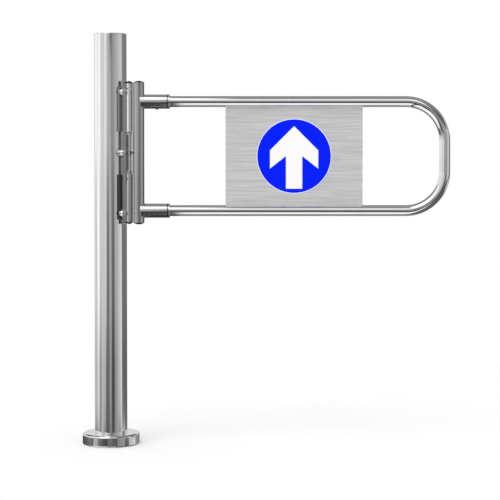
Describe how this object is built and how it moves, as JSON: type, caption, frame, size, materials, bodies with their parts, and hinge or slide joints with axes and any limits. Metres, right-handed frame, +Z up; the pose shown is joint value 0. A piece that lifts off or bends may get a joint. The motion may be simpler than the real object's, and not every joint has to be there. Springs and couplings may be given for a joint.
{
  "type": "swing gate",
  "caption": "Floor-standing round post with a spring-hinged tubular arm that swings open one way and closes itself, with a brushed sheet and a round arrow sign.",
  "frame": {"origin": "on the floor at the post's axis, which is the centre of the anchor holes at the base plate's underside", "axes": "+Z up along the post, +X along the closed arm, +Y the way the gate opens; the sign faces -Y"},
  "size_m": [0.8551, 0.133, 0.958],
  "materials": {
    "post_steel": "polished to a soft mirror",
    "bright_steel": "mirror polished",
    "screw_steel": "bright",
    "plain_steel": "zinc plated",
    "spring_steel": "oiled",
    "bronze": "turned bronze",
    "brushed_sheet": "brushed along its width",
    "sign_white": "gloss",
    "sign_blue": "gloss print"
  },
  "bodies": {
    "post": {"post_tube": "post_steel", "post_cap": "post_steel", "upper_saddle": "bright_steel", "lower_saddle": "bright_steel", "middle_spacer": "bright_steel", "post_leaf": "bright_steel", "upper_spring_barrel": "bright_steel", "lower_spring_barrel": "bright_steel", "lower_barrel_plug": "bright_steel", "leaf_screws": "screw_steel", "leaf_washers": "screw_steel", "base_plate": "plain_steel", "nut_bar": "plain_steel", "upper_torsion_spring": "spring_steel", "lower_torsion_spring": "spring_steel", "upper_bush": "bronze", "lower_bush": "bronze"},
    "gate": {"gate_leaf": "bright_steel", "upper_hinge_pin": "plain_steel", "lower_hinge_pin": "plain_steel", "stile_tube": "bright_steel", "stile_top_plug": "bright_steel", "stile_bottom_plug": "bright_steel", "upper_socket": "bright_steel", "lower_socket": "bright_steel", "socket_screw": "screw_steel", "arm_loop": "bright_steel", "sign_sheet": "brushed_sheet", "sign_backing": "sign_white", "sign_face": "sign_blue"},
    "upper_adjuster": {"upper_tension_collar": "bright_steel", "upper_tension_pin": "plain_steel", "upper_barrel_plug": "bright_steel"},
    "lower_adjuster": {"lower_tension_collar": "bright_steel", "lower_tension_pin": "plain_steel"},
    "foot_cover": {"base_cover": "post_steel"}
  },
  "joints": [
    {"name": "gate_swing", "type": "hinge", "parent": "post", "child": "gate", "pos_m": [0.04515, -0.02347, 0.681], "axis": [0, 0, 1], "range_deg": [0, 90], "stiffness_Nm_per_rad": 1.6, "springref_deg": -60.16},
    {"name": "upper_tension_turn", "type": "hinge", "parent": "post", "child": "upper_adjuster", "pos_m": [0.04515, -0.02347, 0.829], "axis": [0, 0, 1], "range_deg": [-240, 0], "stiffness_Nm_per_rad": 0.3, "springref_deg": 60.16},
    {"name": "lower_tension_turn", "type": "hinge", "parent": "post", "child": "lower_adjuster", "pos_m": [0.04515, -0.02347, 0.62], "axis": [0, 0, 1], "range_deg": [-240, 0], "stiffness_Nm_per_rad": 0.3, "springref_deg": 60.16},
    {"name": "cover_lift", "type": "slide", "parent": "post", "child": "foot_cover", "axis": [0, 0, 1], "range_m": [0, 0.15]}
  ]
}
